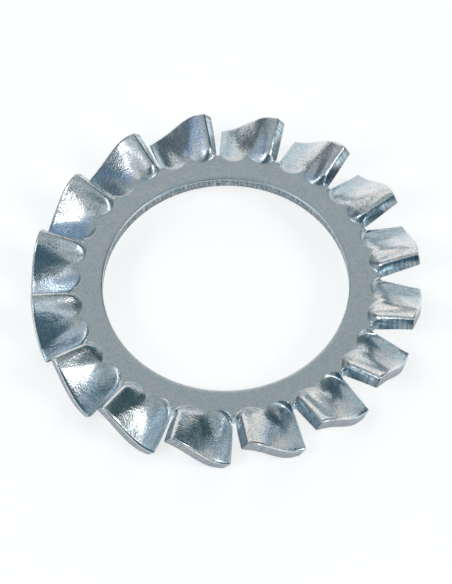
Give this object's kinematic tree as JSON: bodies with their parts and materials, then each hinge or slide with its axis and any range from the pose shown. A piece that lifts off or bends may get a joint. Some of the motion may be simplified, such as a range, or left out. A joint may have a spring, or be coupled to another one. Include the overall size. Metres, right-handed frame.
{
  "type": "toothed lock washer",
  "caption": "Flat ring with a plain bore and twisted teeth round its rim, which bite into the nut and the joint face to stop a screw working loose.",
  "frame": {"origin": "middle of the bore, half way through the ring's thickness", "axes": "+Z along the bore axis; the middle line of the first tooth runs along +X"},
  "size_m": [0.0208, 0.0208, 0.0027],
  "materials": {
    "zinc_plated_spring_steel": "bright zinc plate, satin on the ring and glossy on the teeth"
  },
  "bodies": {
    "root": {"lock_washer": "zinc_plated_spring_steel"}
  },
  "joints": []
}
